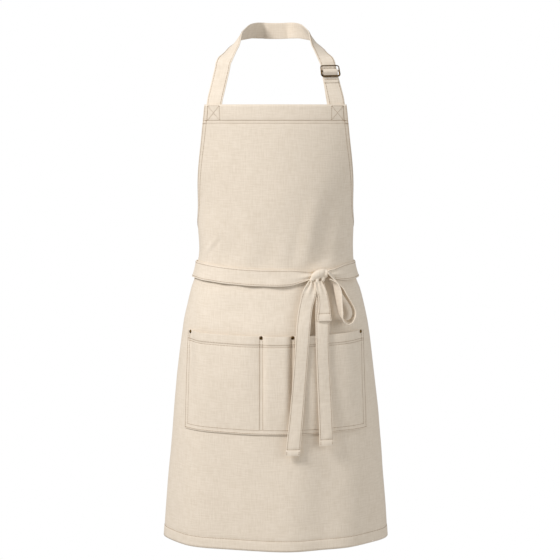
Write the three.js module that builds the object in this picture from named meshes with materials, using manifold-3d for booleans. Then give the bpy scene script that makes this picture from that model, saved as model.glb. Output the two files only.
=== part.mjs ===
// A cotton-canvas painter's bib apron, in the shape it keeps while it is worn and tied.
// Millimetres, +Z up, the wearer faces -Y. The origin is where the neck strap bears on the nape.
import * as THREE from 'three';
import * as BufferGeometryUtils from 'three/addons/utils/BufferGeometryUtils.js';
import Module from 'manifold-3d';

const wasm = await Module();
wasm.setup();

// ---------------------------------------------------------------- driving dimensions
const bibTopDrop = 150; // the bib's top edge hangs this far below the nape
const torsoSetback = 62; // the torso's mid plane lies this far in front of the nape
const panelLength = 877; // bib top to hem, measured along the cloth
const clothFall = 0.986; // height lost per millimetre of cloth, because the skirt leans out
const bibTopHalf = 141; // half the bib's width along its top edge
const skirtHalf = 350; // half the skirt's width, flat
const waistCorner = 297; // cloth length from the bib top to the corners that carry the ties

const canvas = 1.5; // one layer of canvas with its nap
const hemmed = 2.4; // turned hem
const bibBand = 31; // turned band along the bib's top
const bottomHem = 21;
const sideHem = 9;
const layGap = 0.5; // clear space between cloth that lies on cloth

const pocketTop = 447; // cloth length from the bib top
const pocketDepth = 196;
const pocketHalf = 196;
const pocketHem = 20;
const pocketGape = 10; // how far the mouth stands open
const leftDivider = -27.5;
const rightDivider = 33;
const seamHalf = 2.5; // half the width of a double-stitched divider

const rivetInset = 12; // outer rivets, in from the pocket's side edges
const rivetDrop = 3.5; // below the pocket's top edge
const rivetCapRadius = 3.5;
const rivetCapHeight = 1.5;
const rivetPostRadius = 1.2;
const burrRadius = 3.2;
const burrThickness = 0.8;
const burrGap = 0.8; // the panel's flat facets dip inside the true curve
const fitGap = 0.3;
const capGap = 0.85; // the flat cap clears the sloping pocket

const webWidth = 32; // neck strap and waist ties
const webThickness = 2.2;
const strapThickness = 1.6;
const strapCentre = 122; // along the bib's top edge, from the middle to a strap's centre line
const strapSewn = 28; // sewn behind the bib
const strapGap = 1.3; // the flat strap touches the curved bib only along its edges

const tieDrop = 330; // cloth length from the bib top to the ties' centre line
const tieLayer = hemmed + layGap;
const tieCrossing = webWidth / 2 + 2; // the ties pass above and below each other at the back
const tieCornerRise = webWidth / 2 - 4;
const tieOverlap = 26; // sewn on to the panel

const knotCentre = 86; // to the wearer's left of the middle
const knotBelow = 331; // below the bib's top edge
const knotHalfWidth = 16.5;
const knotHalfHeight = 12.5;
const knotDepth = 16;
const knotGap = 2.3; // the ties end just short of the round knot

const tailLayer = pocketGape + 2 * canvas + hemmed - canvas + 2 * layGap + 0.2; // clears the pocket's mouth
const tailKnotLayer = 9;
const loopWidth = 22;
const loopGap = 0.1; // the loop lies on the tie beside the knot

const buckleWidth = 40;
const buckleHeight = 24;
const buckleWire = 3;
const buckleBarRadius = 1.3;
const buckleUp = 65; // along the strap's straight run, from the bib's top edge
const buckleTilt = 0.1; // the frame sits slightly turned on the strap
const foldWidth = 30;
const foldCloth = 1;
const foldTail = 24;
const foldBack = 0.4; // the fold's gap to the strap behind it
const runLength = 91; // the strap's straight stretch above the bib

const tailGap = 1.5; // between a tail's flat end and the round knot over it
const tailTop = knotBelow + knotHalfHeight + tailGap;
const gathered = 14; // a tail's width where the knot squeezes it
const tailWidth = 28;
const tailSpread = 34; // the tail is flat this far below the knot
const shortLayer = webThickness + layGap; // the short end lies on the right tail

// The torso's sections: cloth length from the bib top, half width, half depth.
const sections = [
  [0, 212, 115], [95, 186, 113], [190, 159, 110], [250, 154, 106], [300, 153, 104], [345, 161.5, 108],
  [395, 174, 118], [445, 184.5, 130], [600, 203, 144], [740, 215, 153], [877, 224.5, 160.5],
];
// How far the cloth sags at the middle of the front, below its height at the sides.
const sagSteps = [[0, 0], [200, 4], [330, 11], [445, 6.5], [640, 4], [877, 0]];
// The armhole's edge: shares of the way from the bib's top to the waist corner, down and across.
const armholeShares = [
  [0, 0], [0.267, 0.06], [0.49, 0.134], [0.72, 0.23], [0.81, 0.325], [0.882, 0.474], [0.946, 0.689], [1, 1],
];
const armhole = armholeShares.map(([down, over]) => [
  waistCorner * down, bibTopHalf + (skirtHalf - bibTopHalf) * over,
]);

// ---------------------------------------------------------------- curves
// A smooth curve through rows of [where, value, ...], read in the given column.
function along(rows, where, column = 1) {
  const last = rows.length - 1;
  let i = 0;
  while (i < last - 1 && where > rows[i + 1][0]) i += 1;
  const slope = (k) => {
    const low = rows[Math.max(0, k - 1)];
    const high = rows[Math.min(last, k + 1)];
    return (high[column] - low[column]) / (high[0] - low[0]);
  };
  const gap = rows[i + 1][0] - rows[i][0];
  const t = Math.min(1, Math.max(0, (where - rows[i][0]) / gap));
  const rise = t * t * (3 - 2 * t);
  return rows[i][column] * (1 - rise) + rows[i + 1][column] * rise
    + gap * (t * (1 - t) * (1 - t) * slope(i) - t * t * (1 - t) * slope(i + 1));
}

function smooth(t) {
  const clamped = Math.min(1, Math.max(0, t));
  return clamped * clamped * (3 - 2 * clamped);
}

// Grid lines from start to end near the given pitch, with a line at each stop between them.
function spread(start, end, pitch, ...stops) {
  const marks = [start, ...stops.sort((one, other) => one - other), end];
  const lines = [];
  for (let k = 0; k < marks.length - 1; k += 1) {
    const gap = marks[k + 1] - marks[k];
    const cells = Math.max(1, Math.round(gap / pitch));
    for (let i = 0; i < cells; i += 1) lines.push(marks[k] + (gap * i) / cells);
  }
  return [...lines, end];
}

function halfWidthAt(drop) {
  if (drop >= waistCorner) return skirtHalf;
  return Math.min(skirtHalf, along(armhole, drop));
}

// The angle round an elliptical section at a girth measured from the middle of the front.
function angleAt(girth, wide, deep) {
  const steps = 48;
  const step = girth / steps;
  const rate = (angle) => Math.hypot(wide * Math.cos(angle), deep * Math.sin(angle));
  let angle = 0;
  for (let i = 0; i < steps; i += 1) {
    const middle = angle + step / 2 / rate(angle);
    angle += step / rate(middle);
  }
  return angle;
}

// A place on the torso: girth from the middle of the front, drop from the bib top, and how far out.
function onTorso(girth, drop, out = 0, rise = 0) {
  const wide = along(sections, drop, 1);
  const deep = along(sections, drop, 2);
  const angle = angleAt(girth, wide, deep);
  const front = Math.max(0, Math.cos(angle));
  const normal = new THREE.Vector3(Math.sin(angle) / wide, -Math.cos(angle) / deep, 0).normalize();
  const place = new THREE.Vector3(
    wide * Math.sin(angle),
    -torsoSetback - deep * Math.cos(angle),
    -bibTopDrop - drop * clothFall - along(sagSteps, drop) * front * front + rise,
  );
  return { place: place.addScaledVector(normal, out), normal };
}

// The same place with the normal square to the sloping cloth.
function squareOn(girth, drop) {
  const { place } = onTorso(girth, drop);
  const over = onTorso(girth + 1, drop).place.sub(onTorso(girth - 1, drop).place);
  const down = onTorso(girth, drop + 1).place.sub(onTorso(girth, drop - 1).place);
  return { place, normal: new THREE.Vector3().crossVectors(down, over).normalize() };
}

// The same surface, found by a place seen from the front and a height below the bib top.
function onFront(x, below, out) {
  const drop = below / clothFall;
  const wide = along(sections, drop, 1);
  const deep = along(sections, drop, 2);
  const angle = Math.asin(x / wide);
  const normal = new THREE.Vector3(Math.sin(angle) / wide, -Math.cos(angle) / deep, 0).normalize();
  const place = new THREE.Vector3(x, -torsoSetback - deep * Math.cos(angle), -bibTopDrop - below);
  return { place: place.addScaledVector(normal, out), normal };
}

// ---------------------------------------------------------------- solids
const apron = new THREE.Group();

const finishes = {
  canvas: new THREE.MeshStandardMaterial({ color: 0xe3d5c1, roughness: 0.9, metalness: 0 }),
  web: new THREE.MeshStandardMaterial({ color: 0xe6d8c6, roughness: 0.88, metalness: 0 }),
  brass: new THREE.MeshStandardMaterial({ color: 0x6b5636, roughness: 0.42, metalness: 0.9 }),
};

function add(name, geometry, finish) {
  const mesh = new THREE.Mesh(geometry, finishes[finish]);
  mesh.name = name;
  apron.add(mesh);
  return mesh;
}

function welded(geometry) {
  const bare = geometry.clone();
  bare.deleteAttribute('normal');
  bare.deleteAttribute('uv');
  return BufferGeometryUtils.mergeVertices(bare, 1e-4);
}

// A slab of cells bent into shape: bend(column, row, layer) gives each corner's place.
function bentSlab(columns, rows, bend) {
  const slab = welded(new THREE.BoxGeometry(columns, rows, 1, columns, rows, 1));
  const corners = slab.attributes.position;
  for (let i = 0; i < corners.count; i += 1) {
    const column = Math.round(corners.getX(i) + columns / 2);
    const row = Math.round(corners.getY(i) + rows / 2);
    const layer = Math.round(corners.getZ(i) + 0.5);
    const place = bend(column, row, layer);
    corners.setXYZ(i, place.x, place.y, place.z);
  }
  return slab;
}

// A flat band through stations, each with the middle of its inner face, its normal and its width.
function band(stations, width, thickness) {
  return bentSlab(2, stations.length - 1, (column, row, layer) => {
    const { place, normal, across } = stations[row];
    const wide = stations[row].width ?? width;
    return place.clone().addScaledVector(across, (column / 2 - 0.5) * wide)
      .addScaledVector(normal, layer * thickness);
  });
}

// Gives stations a square frame: the run goes from each to the next, across lies over the width.
function squared(stations) {
  return stations.map((station, i) => {
    const { place, normal } = station;
    const before = stations[Math.max(0, i - 1)].place;
    const after = stations[Math.min(stations.length - 1, i + 1)].place;
    const run = after.clone().sub(before).normalize();
    const face = normal.clone().addScaledVector(run, -normal.dot(run)).normalize();
    return { ...station, place, normal: face, across: new THREE.Vector3().crossVectors(run, face) };
  });
}

function toSolid(geometry) {
  const closed = welded(geometry);
  return new wasm.Manifold(new wasm.Mesh({
    numProp: 3,
    vertProperties: new Float32Array(closed.attributes.position.array),
    triVerts: new Uint32Array(closed.index.array),
  }));
}

function toGeometry(solid) {
  const { vertProperties, triVerts } = solid.getMesh();
  const geometry = new THREE.BufferGeometry();
  geometry.setAttribute('position', new THREE.BufferAttribute(new Float32Array(vertProperties), 3));
  geometry.setIndex(new THREE.BufferAttribute(new Uint32Array(triVerts), 1));
  return geometry;
}

// Turns a shape made along +Y so that it points out of the cloth.
function pointedOut(geometry, { place, normal }) {
  const turn = new THREE.Quaternion().setFromUnitVectors(new THREE.Vector3(0, 1, 0), normal);
  return geometry.applyQuaternion(turn).translate(place.x, place.y, place.z);
}

// ---------------------------------------------------------------- rivets
const rivetSpots = [-pocketHalf + rivetInset, leftDivider, rightDivider, pocketHalf - rivetInset]
  .map((girth) => squareOn(girth, pocketTop + rivetDrop));
const pocketSeat = canvas + layGap; // inner face of the pocket where it is sewn down
const rivetSides = 12;

function rivetHole(spot) {
  const length = pocketSeat + hemmed + 2 * canvas;
  const hole = new THREE.CylinderGeometry(
    rivetPostRadius + fitGap, rivetPostRadius + fitGap, length, rivetSides,
  );
  hole.translate(0, length / 2 - canvas, 0);
  return toSolid(pointedOut(hole, spot));
}

function withRivetHoles(geometry) {
  let solid = toSolid(geometry);
  for (const spot of rivetSpots) solid = solid.subtract(rivetHole(spot));
  return toGeometry(solid);
}

function addRivets() {
  const seat = pocketSeat + hemmed + capGap;
  const postEnd = -burrGap - burrThickness;
  const cap = [
    [0, postEnd], [rivetPostRadius, postEnd], [rivetPostRadius, seat], [rivetCapRadius, seat],
    [rivetCapRadius, seat + rivetCapHeight * 0.35], [rivetCapRadius * 0.72, seat + rivetCapHeight * 0.85],
    [0, seat + rivetCapHeight],
  ].map(([r, y]) => new THREE.Vector2(r, y));
  const hole = rivetPostRadius + fitGap;
  const burr = [
    [hole, postEnd], [burrRadius, postEnd], [burrRadius, -burrGap], [hole, -burrGap], [hole, postEnd],
  ].map(([r, y]) => new THREE.Vector2(r, y));
  rivetSpots.forEach((spot, i) => {
    const number = i + 1;
    add(`pocket_rivet_${number}`, pointedOut(new THREE.LatheGeometry(cap, rivetSides), spot), 'brass');
    add(`rivet_burr_${number}`, pointedOut(new THREE.LatheGeometry(burr, rivetSides), spot), 'brass');
  });
}

// ---------------------------------------------------------------- panel
const columnsPerSide = 17;
const hemStep = 0.6; // the step down from a hem to one layer
const columnPitch = (skirtHalf - sideHem - hemStep) / columnsPerSide;

const bibPitch = 20; // between the panel's grid rows
const skirtPitch = 31;

// The panel's grid rows, from the hem up.
const panelRows = [
  0, bibBand, ...spread(bibBand + hemStep, waistCorner, bibPitch).slice(0, -1),
  ...spread(waistCorner, panelLength - bottomHem - hemStep, skirtPitch, pocketTop),
  panelLength - bottomHem, panelLength,
].reverse();

// The girths of the panel's grid lines at one drop, from the right hem to the left.
function panelColumns(drop) {
  const half = halfWidthAt(drop);
  const inner = half - sideHem - hemStep;
  const lines = [-half, -half + sideHem];
  for (let i = -columnsPerSide; i <= columnsPerSide; i += 1) lines.push((inner * i) / columnsPerSide);
  lines.push(half - sideHem, half);
  return lines;
}

function panelThickness(column, drop) {
  const last = panelColumns(drop).length - 1;
  const turned = column <= 1 || column >= last - 1 || drop <= bibBand || drop >= panelLength - bottomHem;
  return turned ? hemmed : canvas;
}

function addPanel() {
  const columns = panelColumns(0).length - 1;
  const panel = bentSlab(columns, panelRows.length - 1, (column, row, layer) => {
    const drop = panelRows[row];
    const girth = panelColumns(drop)[column];
    return onTorso(girth, drop, layer * panelThickness(column, drop)).place;
  });
  add('apron_panel', withRivetHoles(panel), 'canvas');
}

// ---------------------------------------------------------------- pocket
const sewnSide = rivetInset + 7; // flat at each side, for the rivet
const compartments = [
  [-pocketHalf + sewnSide, leftDivider - seamHalf],
  [leftDivider + seamHalf, rightDivider - seamHalf],
  [rightDivider + seamHalf, pocketHalf - sewnSide],
];
const pocketPitch = 19; // between the pocket's grid columns

// How far the pocket's front stands off the panel: most at each mouth, nothing at the seams.
function gapeAt(girth, drop) {
  const depth = Math.min(1, Math.max(0, (pocketTop + pocketDepth - drop) / pocketDepth));
  for (const [from, to] of compartments) {
    if (girth > from && girth < to) {
      const over = Math.min(1, 4 * Math.min(girth - from, to - girth) / (to - from));
      return pocketGape * Math.sin((over * Math.PI) / 2) * Math.sin((Math.min(1, 1.5 * depth) * Math.PI) / 2);
    }
  }
  return 0;
}

function pocketColumns() {
  const lines = [-pocketHalf, pocketHalf];
  for (const [from, to] of compartments) {
    const cells = Math.max(4, Math.round((to - from) / pocketPitch));
    for (let i = 0; i <= cells; i += 1) lines.push(from + ((to - from) * i) / cells);
  }
  return lines.sort((one, other) => one - other);
}

function addPocket() {
  const girths = pocketColumns();
  const bottom = pocketTop + pocketDepth;
  const rows = spread(pocketTop + pocketHem + hemStep, bottom, 28);
  const drops = [pocketTop, pocketTop + pocketHem, ...rows].reverse();
  const pocket = bentSlab(girths.length - 1, drops.length - 1, (column, row, layer) => {
    const drop = drops[row];
    const thickness = drop <= pocketTop + pocketHem ? hemmed : canvas;
    return onTorso(girths[column], drop, pocketSeat + gapeAt(girths[column], drop) + layer * thickness).place;
  });
  add('pocket_panel', withRivetHoles(pocket), 'canvas');
}

// ---------------------------------------------------------------- waist ties
const sideGirth = girthTo(Math.PI / 2, tieDrop);
const backGirth = 2 * sideGirth;

// The girth from the middle of the front round to an angle.
function girthTo(end, drop) {
  const wide = along(sections, drop, 1);
  const deep = along(sections, drop, 2);
  const steps = 64;
  let girth = 0;
  for (let i = 0; i < steps; i += 1) {
    const angle = ((i + 0.5) / steps) * end;
    girth += (Math.hypot(wide * Math.cos(angle), deep * Math.sin(angle)) * end) / steps;
  }
  return girth;
}

function girthAtX(x, drop) {
  return girthTo(Math.asin(x / along(sections, drop, 1)), drop);
}

// A tie sewn at one waist corner, led over the back, round the other side and on to the knot.
// Travel is measured from the sewn end; side is 1 for the tie that comes round on the +X side.
function addTie(name, side, frontEnd) {
  const start = skirtHalf - tieOverlap;
  const total = 2 * backGirth - start - frontEnd;
  const backHalfGap = backGirth - skirtHalf;
  const cells = Math.round((2 * total) / columnPitch);
  const tie = bentSlab(2, cells, (column, row, layer) => {
    // Rows run so that the outer face is always the one turned away from the body.
    const travel = (total * (side > 0 ? row : cells - row)) / cells;
    const girth = start + travel; // grows past the back's middle at backGirth
    const beyond = girth - backGirth;
    const overHem = beyond - backHalfGap;
    const rise = tieCrossing - (tieCrossing - tieCornerRise) * smooth(Math.abs(beyond) / backHalfGap);
    const settled = smooth((overHem - tieOverlap - 10) / 40);
    const over = (webThickness + layGap) * (smooth((beyond - 4) / 26) - settled);
    const fade = 1 - smooth(overHem / (skirtHalf - sideGirth));
    const across = (column / 2 - 0.5) * webWidth;
    const drop = tieDrop - (side * rise * fade + across) / clothFall;
    return onTorso(-side * girth, drop, tieLayer + over + layer * webThickness).place;
  });
  add(name, tie, 'web');
}

// ---------------------------------------------------------------- knot, bow and tails
function addKnot() {
  const lump = welded(new THREE.SphereGeometry(1, 16, 10));
  const corners = lump.attributes.position;
  const corner = new THREE.Vector3();
  const plump = (value) => Math.sign(value) * Math.abs(value) ** 0.75;
  for (let i = 0; i < corners.count; i += 1) {
    corner.fromBufferAttribute(corners, i);
    const out = knotDepth * 0.5 * (1 - plump(corner.y)) + tieLayer - layGap;
    const below = knotBelow - knotHalfHeight * plump(corner.z);
    const spot = onFront(knotCentre + knotHalfWidth * plump(corner.x), below, out);
    corners.setXYZ(i, spot.place.x, spot.place.y, spot.place.z);
  }
  add('waist_knot', lump, 'web');
}

// A tail hangs from the knot and lies on the skirt. Stations run from its end up to the knot.
// points: [below the bib top, x, how far out]
function tailStations(points, cells) {
  const high = points[0][0];
  const low = points[points.length - 1][0];
  const stations = [];
  for (let i = 0; i <= cells; i += 1) {
    const below = low + ((high - low) * i) / cells;
    const spread = smooth((below - high) / tailSpread);
    const width = gathered + (tailWidth - gathered) * spread;
    stations.push({ ...onFront(along(points, below, 1), below, along(points, below, 2)), width });
  }
  return squared(stations);
}

// Each hanging end: below its own top, across from the knot's middle, and how far out.
function fromKnot(rows) {
  return rows.map(([fall, across, out]) => [tailTop + fall, knotCentre + across, out]);
}

const leftTail = fromKnot([
  [0, -8.4, tailKnotLayer], [29, -25, tailLayer - 1], [85, -32.5, tailLayer], [160, -40, tailLayer],
  [331, -55, tailLayer],
]);
const rightTail = fromKnot([
  [1, 6.5, tailKnotLayer], [29, 3, tailLayer - 1], [85, 0.5, tailLayer], [185, 3.5, tailLayer],
  [314, 8.8, tailLayer],
]);
const shortEnd = fromKnot([
  [1.6, 7, tailKnotLayer + shortLayer], [29, 3.5, tailLayer - 1 + shortLayer], [72, 2, tailLayer + shortLayer],
]);

function addTails() {
  add('tie_tail_left', band(tailStations(leftTail, 14), tailWidth, webThickness), 'web');
  add('tie_tail_right', band(tailStations(rightTail, 13), tailWidth, webThickness), 'web');
  add('tie_short_end', band(tailStations(shortEnd, 6), tailWidth, webThickness), 'web');
}

// The bow's one loop, out of the knot and back to it: across and below, from the knot's middle.
const loopRun = [
  [knotHalfWidth + 0.7, -2], [31, 7], [47, 22], [60, 44], [67, 67], [64, 86], [55, 93], [45, 86], [39, 67],
  [35, 45], [30, 28], [knotHalfWidth + 3.1, 10],
];

function addLoop() {
  const curve = new THREE.CatmullRomCurve3(loopRun.map(([over, fall]) => (
    new THREE.Vector3(knotCentre + over, 0, -knotBelow - fall))));
  const cells = 22;
  const out = tieLayer + webThickness + loopGap;
  const points = curve.getSpacedPoints(cells).map((p) => onFront(p.x, -p.z, out));
  const stations = points.map(({ place, normal }, i) => {
    const before = points[Math.max(0, i - 1)].place;
    const after = points[Math.min(cells, i + 1)].place;
    const run = after.clone().sub(before).normalize();
    const side = new THREE.Vector3().crossVectors(normal, run).normalize();
    const middle = place.clone().addScaledVector(normal, loopWidth / 2);
    return { place: middle, normal: side, across: new THREE.Vector3().crossVectors(run, side) };
  });
  add('bow_loop', band(stations, loopWidth, webThickness), 'web');
}

// ---------------------------------------------------------------- neck strap
const strapInner = -strapThickness - strapGap; // sewn inside the bib
const runEndRight = new THREE.Vector3(99.5, -70 - torsoSetback, -bibTopDrop + 85);

function strapRun(side) {
  const foot = onTorso(side * strapCentre, strapSewn, strapInner);
  const edge = onTorso(side * strapCentre, 2, strapInner);
  const top = runEndRight.clone().setX(side * runEndRight.x);
  const start = onTorso(side * strapCentre, 0, strapInner).place.add(new THREE.Vector3(0, 0, 2));
  const direction = top.clone().sub(start).normalize();
  const normal = edge.normal.clone().addScaledVector(direction, -edge.normal.dot(direction)).normalize();
  const end = start.clone().addScaledVector(direction, runLength);
  const across = new THREE.Vector3().crossVectors(direction, normal);
  return { foot, edge, start, end, direction, normal, across };
}

function addStrapRun(side, name) {
  const run = strapRun(side);
  const low = squared([run.foot, run.edge]);
  const cells = 3;
  const upper = [];
  for (let i = 0; i <= cells; i += 1) {
    const place = run.start.clone().lerp(run.end, i / cells);
    upper.push({ place, normal: run.normal, across: run.across });
  }
  add(name, band([...low, ...upper], webWidth, strapThickness), 'web');
}

// The strap round the neck: the middle of its inner face, and the way it faces, from +X to -X.
const neckBend = [
  [[85, -47, 108], [0.62, -0.5, 0.6]],
  [[69, -8, 136], [0.84, 0.05, 0.54]],
  [[49, 35, 148], [0.68, 0.65, 0.35]],
];
const napeFlatHalf = 16;
const napeTurn = [[12, -2.5, 0.6], [0.22, 0.97, 0.03]]; // beyond the flat, from its end

function addNeckStrap() {
  const right = strapRun(1);
  const left = strapRun(-1);
  const bend = neckBend.map(([[x, y, z], [nx, ny, nz]]) => ({
    place: new THREE.Vector3(x, y - torsoSetback, z - bibTopDrop), normal: new THREE.Vector3(nx, ny, nz),
  }));
  const half = [
    { place: right.end.clone().addScaledVector(right.direction, fitGap), normal: right.normal },
    ...bend,
    { place: new THREE.Vector3(...napeTurn[0]).setX(napeFlatHalf + napeTurn[0][0]),
      normal: new THREE.Vector3(...napeTurn[1]) },
    { place: new THREE.Vector3(napeFlatHalf, 0, 0), normal: new THREE.Vector3(0, 1, 0) },
  ];
  const mirrored = half.map(({ place, normal }) => ({
    place: place.clone().setX(-place.x), normal: normal.clone().setX(-normal.x),
  })).reverse();
  const keys = [...half, ...mirrored];
  const path = new THREE.CatmullRomCurve3(keys.map(({ place }) => place), false, 'centripetal');
  const stations = [];
  const cellsPerKey = 3;
  const spans = keys.length - 1;
  for (let k = 0; k < spans; k += 1) {
    const flat = k === half.length - 1;
    const cells = flat ? 1 : cellsPerKey;
    for (let i = 0; i < cells; i += 1) {
      const t = i / cells;
      const place = flat ? keys[k].place.clone() : path.getPoint((k + t) / spans);
      stations.push({ place, normal: keys[k].normal.clone().lerp(keys[k + 1].normal, t).normalize() });
    }
  }
  stations.push({ place: keys[spans].place.clone(), normal: keys[spans].normal.clone() });
  const frames = squared(stations);
  frames[0] = { ...frames[0], normal: right.normal, across: right.across };
  const last = frames.length - 1;
  const leftAcross = left.across.clone().negate();
  frames[last] = { ...frames[last], normal: left.normal, across: leftAcross };
  for (const frame of frames) {
    if (Math.abs(frame.place.x) <= napeFlatHalf + 0.01) {
      frame.normal = new THREE.Vector3(0, 1, 0);
      frame.across = new THREE.Vector3(0, 0, -1);
    }
  }
  add('neck_strap_nape', band(frames, webWidth, strapThickness), 'web');
}

// ---------------------------------------------------------------- buckle
// Places a piece drawn with +X across the strap, +Y up its run and +Z out of it.
function onStrap(geometry, up, out) {
  const run = strapRun(1);
  const frame = new THREE.Matrix4().makeBasis(run.across, run.direction, run.normal);
  const place = run.start.clone().addScaledVector(run.direction, up)
    .addScaledVector(run.normal, strapThickness + out);
  return geometry.applyMatrix4(frame.setPosition(place));
}

function roundedBox(path, width, height, radius) {
  const w = width / 2 - radius;
  const h = height / 2 - radius;
  path.absarc(w, h, radius, 0, Math.PI / 2, false);
  path.absarc(-w, h, radius, Math.PI / 2, Math.PI, false);
  path.absarc(-w, -h, radius, Math.PI, Math.PI * 1.5, false);
  path.absarc(w, -h, radius, Math.PI * 1.5, Math.PI * 2, false);
  path.closePath();
  return path;
}

const barOut = foldBack + foldCloth + fitGap + buckleBarRadius;

function addBuckle() {
  const outline = roundedBox(new THREE.Shape(), buckleWidth, buckleHeight, 4);
  outline.holes.push(roundedBox(new THREE.Path(), buckleWidth - 2 * buckleWire,
    buckleHeight - 2 * buckleWire, 2));
  const ring = new THREE.ExtrudeGeometry(
    outline, { depth: buckleWire, bevelEnabled: false, curveSegments: 4 },
  );
  ring.translate(0, 0, 2 * foldCloth + foldBack + 2 * fitGap);
  const bar = new THREE.CylinderGeometry(buckleBarRadius, buckleBarRadius, buckleWidth - buckleWire, 12);
  bar.rotateZ(Math.PI / 2).translate(0, 0, barOut);
  const frame = toGeometry(toSolid(ring).add(toSolid(bar)));
  frame.rotateZ(-buckleTilt);
  add('buckle_frame', onStrap(frame, buckleUp, 0), 'brass');

  // The web's end is led round the bar and sewn down under the buckle.
  const inner = buckleBarRadius + fitGap;
  const outer = inner + foldCloth;
  const under = foldBack + 2 * foldCloth;
  const lean = Math.asin((barOut - under) / outer);
  const side = new THREE.Shape();
  side.moveTo(-foldTail, foldBack);
  side.lineTo(0, foldBack);
  side.absarc(0, barOut, outer, -Math.PI / 2, Math.PI + lean, false);
  side.lineTo(-foldTail, under);
  side.closePath();
  const tunnel = new THREE.Path();
  tunnel.absarc(0, barOut, inner, 0, Math.PI * 2, false);
  side.holes.push(tunnel);
  const fold = new THREE.ExtrudeGeometry(side, { depth: foldWidth, bevelEnabled: false, curveSegments: 8 });
  // Drawn with its run along X and its depth along Y, then stood up on the strap.
  const stand = new THREE.Matrix4().makeBasis(
    new THREE.Vector3(0, 1, 0), new THREE.Vector3(0, 0, 1), new THREE.Vector3(1, 0, 0),
  );
  fold.translate(0, 0, -foldWidth / 2).applyMatrix4(stand);
  fold.rotateZ(-buckleTilt);
  add('buckle_fold', onStrap(fold, buckleUp, 0), 'web');
}

addPanel();
addPocket();
addRivets();
addTie('waist_tie_left', 1, girthAtX(knotCentre + knotHalfWidth + knotGap, tieDrop));
addTie('waist_tie_right', -1, -girthAtX(knotCentre - knotHalfWidth - knotGap, tieDrop));
addKnot();
addTails();
addLoop();
addStrapRun(-1, 'neck_strap_left');
addStrapRun(1, 'neck_strap_right');
addNeckStrap();
addBuckle();

export default apron;
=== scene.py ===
import math
from bisect import bisect_left
from functools import lru_cache

import bmesh
import bpy
from mathutils import Matrix, Vector, noise


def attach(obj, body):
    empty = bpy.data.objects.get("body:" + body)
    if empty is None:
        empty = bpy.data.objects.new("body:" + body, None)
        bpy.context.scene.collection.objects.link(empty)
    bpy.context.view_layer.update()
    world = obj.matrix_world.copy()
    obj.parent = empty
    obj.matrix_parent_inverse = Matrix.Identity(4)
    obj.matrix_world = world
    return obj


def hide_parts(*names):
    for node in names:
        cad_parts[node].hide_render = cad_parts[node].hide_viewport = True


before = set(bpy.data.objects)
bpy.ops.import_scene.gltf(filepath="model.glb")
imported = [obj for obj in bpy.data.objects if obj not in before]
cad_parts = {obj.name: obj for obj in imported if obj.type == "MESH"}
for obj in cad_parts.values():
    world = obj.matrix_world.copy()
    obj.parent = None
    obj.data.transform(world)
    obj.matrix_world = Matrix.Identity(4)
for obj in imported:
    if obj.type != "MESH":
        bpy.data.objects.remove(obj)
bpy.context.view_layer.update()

MM = 0.001

# ---------------------------------------------------------------- the apron's sizes, in millimetres
BIB_TOP_DROP = 150  # the bib's top edge hangs this far below the nape
TORSO_SETBACK = 62  # from the nape forward to the middle of the torso
PANEL_LENGTH = 877
BIB_TOP_HALF = 141
CLOTH_FALL = 0.986  # height lost for each millimetre of cloth, which leans as it hangs
SKIRT_HALF = 350  # half the panel's width below the armholes, laid flat
WAIST_CORNER = 297  # where the armhole ends, down the cloth
BIB_BAND = 31
SECOND_SEAM = 5  # from the first seam of the bib band to the second
BOTTOM_HEM = 21
SIDE_HEM = 9

POCKET_TOP = 447
POCKET_DEPTH = 196
POCKET_HALF = 196
POCKET_HEM = 20
POCKET_GAPE = 7  # how far each mouth stands open
DIVIDERS = (-27.5, 33)
RIVET_INSET = 12
RIVET_DROP = 3.5
POCKET_SEAM = 2.5  # from the pocket's edge to its outer seam
POCKET_SEAM_GAP = 7  # between the two seams at its sides and bottom

WEB = 32  # width of the neck strap and the waist ties
STRAP_CENTRE = 122
STRAP_SEWN = 28  # the strap's end goes this far down behind the bib
TIE_DROP = 330
TIE_OVERLAP = 26
KNOT_ACROSS = 86  # from the front's middle to the knot
KNOT_HALF = 14
CANVAS_LIFT = 1.2  # the panel's outer face, off the torso's form

BUCKLE_UP = 65  # up the strap's straight run from the bib
BUCKLE_TILT = 0.1

# The torso's sections: cloth length from the bib top, half width, half depth.
SECTIONS = (
    (0, 212, 115), (95, 186, 113), (190, 159, 110), (250, 154, 106), (300, 153, 104), (345, 161.5, 108),
    (395, 174, 118), (445, 184.5, 130), (600, 203, 144), (740, 215, 153), (877, 224.5, 160.5),
)
SAG = ((0, 0), (200, 4), (330, 11), (445, 6.5), (640, 4), (877, 0))
# The armhole's edge, as shares of the way from the bib's top corner to the waist corner: down, across.
ARMHOLE_SHARES = (
    (0, 0), (0.267, 0.06), (0.49, 0.134), (0.72, 0.23), (0.81, 0.325), (0.882, 0.474), (0.946, 0.689), (1, 1),
)
ARMHOLE = [(WAIST_CORNER * d, BIB_TOP_HALF + (SKIRT_HALF - BIB_TOP_HALF) * a) for d, a in ARMHOLE_SHARES]


# ---------------------------------------------------------------- curves
def along(rows, where, column=1):
    """A smooth curve through rows of (where, value, ...), read in the given column."""
    last = len(rows) - 1
    i = 0
    while i < last - 1 and where > rows[i + 1][0]:
        i += 1

    def slope(k):
        low, high = rows[max(0, k - 1)], rows[min(last, k + 1)]
        return (high[column] - low[column]) / (high[0] - low[0])

    gap = rows[i + 1][0] - rows[i][0]
    t = min(1, max(0, (where - rows[i][0]) / gap))
    rise = t * t * (3 - 2 * t)
    bend = t * (1 - t) * (1 - t) * slope(i) - t * t * (1 - t) * slope(i + 1)
    return rows[i][column] * (1 - rise) + rows[i + 1][column] * rise + gap * bend


def smooth(t):
    t = min(1, max(0, t))
    return t * t * (3 - 2 * t)


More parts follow.
